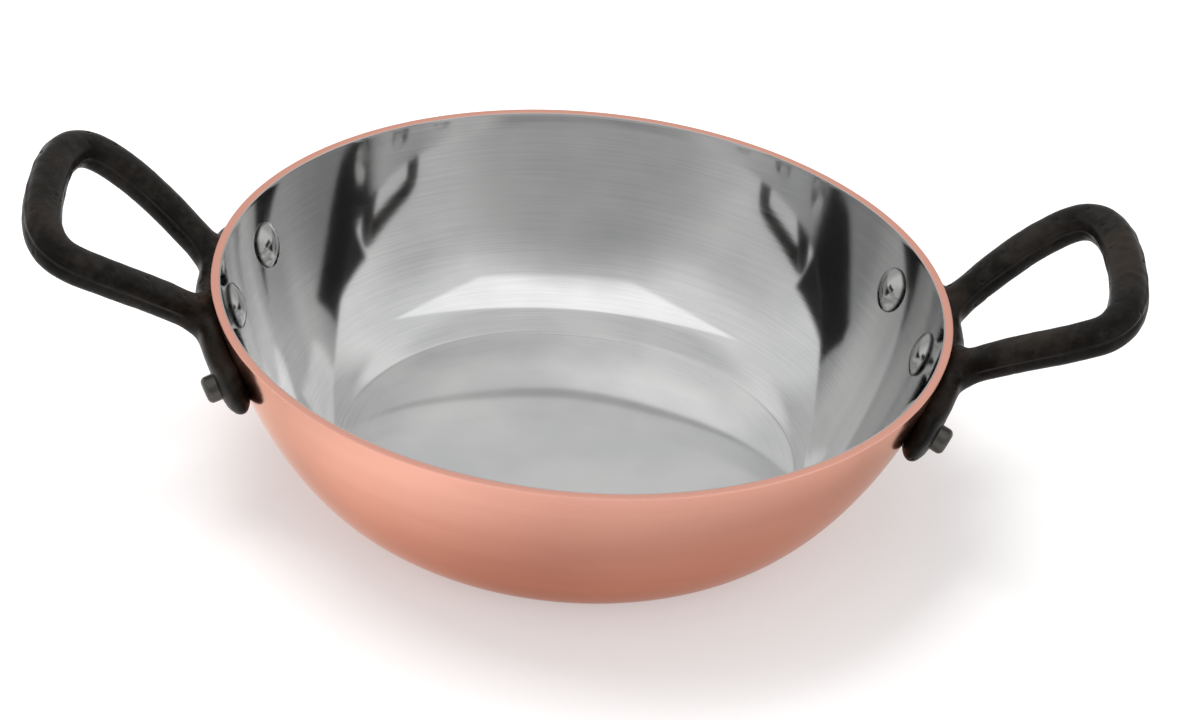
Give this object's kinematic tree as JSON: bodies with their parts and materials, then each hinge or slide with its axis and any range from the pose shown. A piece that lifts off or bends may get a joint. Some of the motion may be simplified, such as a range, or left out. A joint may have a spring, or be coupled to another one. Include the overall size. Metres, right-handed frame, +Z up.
{
  "type": "serving dish",
  "caption": "Round copper serving dish with flaring curved sides, a thin steel lining, a flat base and upswept cast-iron loop handles riveted to opposite sides.",
  "frame": {"origin": "centre of the underside of the flat base, on the surface that the dish stands on", "axes": "+Z up, +X through the middle of the right handle, -Y towards the side that the picture is taken from"},
  "size_m": [0.2996, 0.2, 0.0796],
  "materials": {
    "copper": "satin copper, brushed round the dish",
    "lining": "polished steel with fine circular brushing",
    "cast_iron": "dark brown-black casting with fine pits",
    "rivet": "polished domed head, dull dark tail end"
  },
  "bodies": {
    "root": {"copper_shell": "copper", "steel_lining": "lining", "handle_right": "cast_iron", "rivet_right_front": "rivet", "rivet_right_middle": "rivet", "rivet_right_back": "rivet", "handle_left": "cast_iron", "rivet_left_front": "rivet", "rivet_left_middle": "rivet", "rivet_left_back": "rivet"}
  },
  "joints": []
}
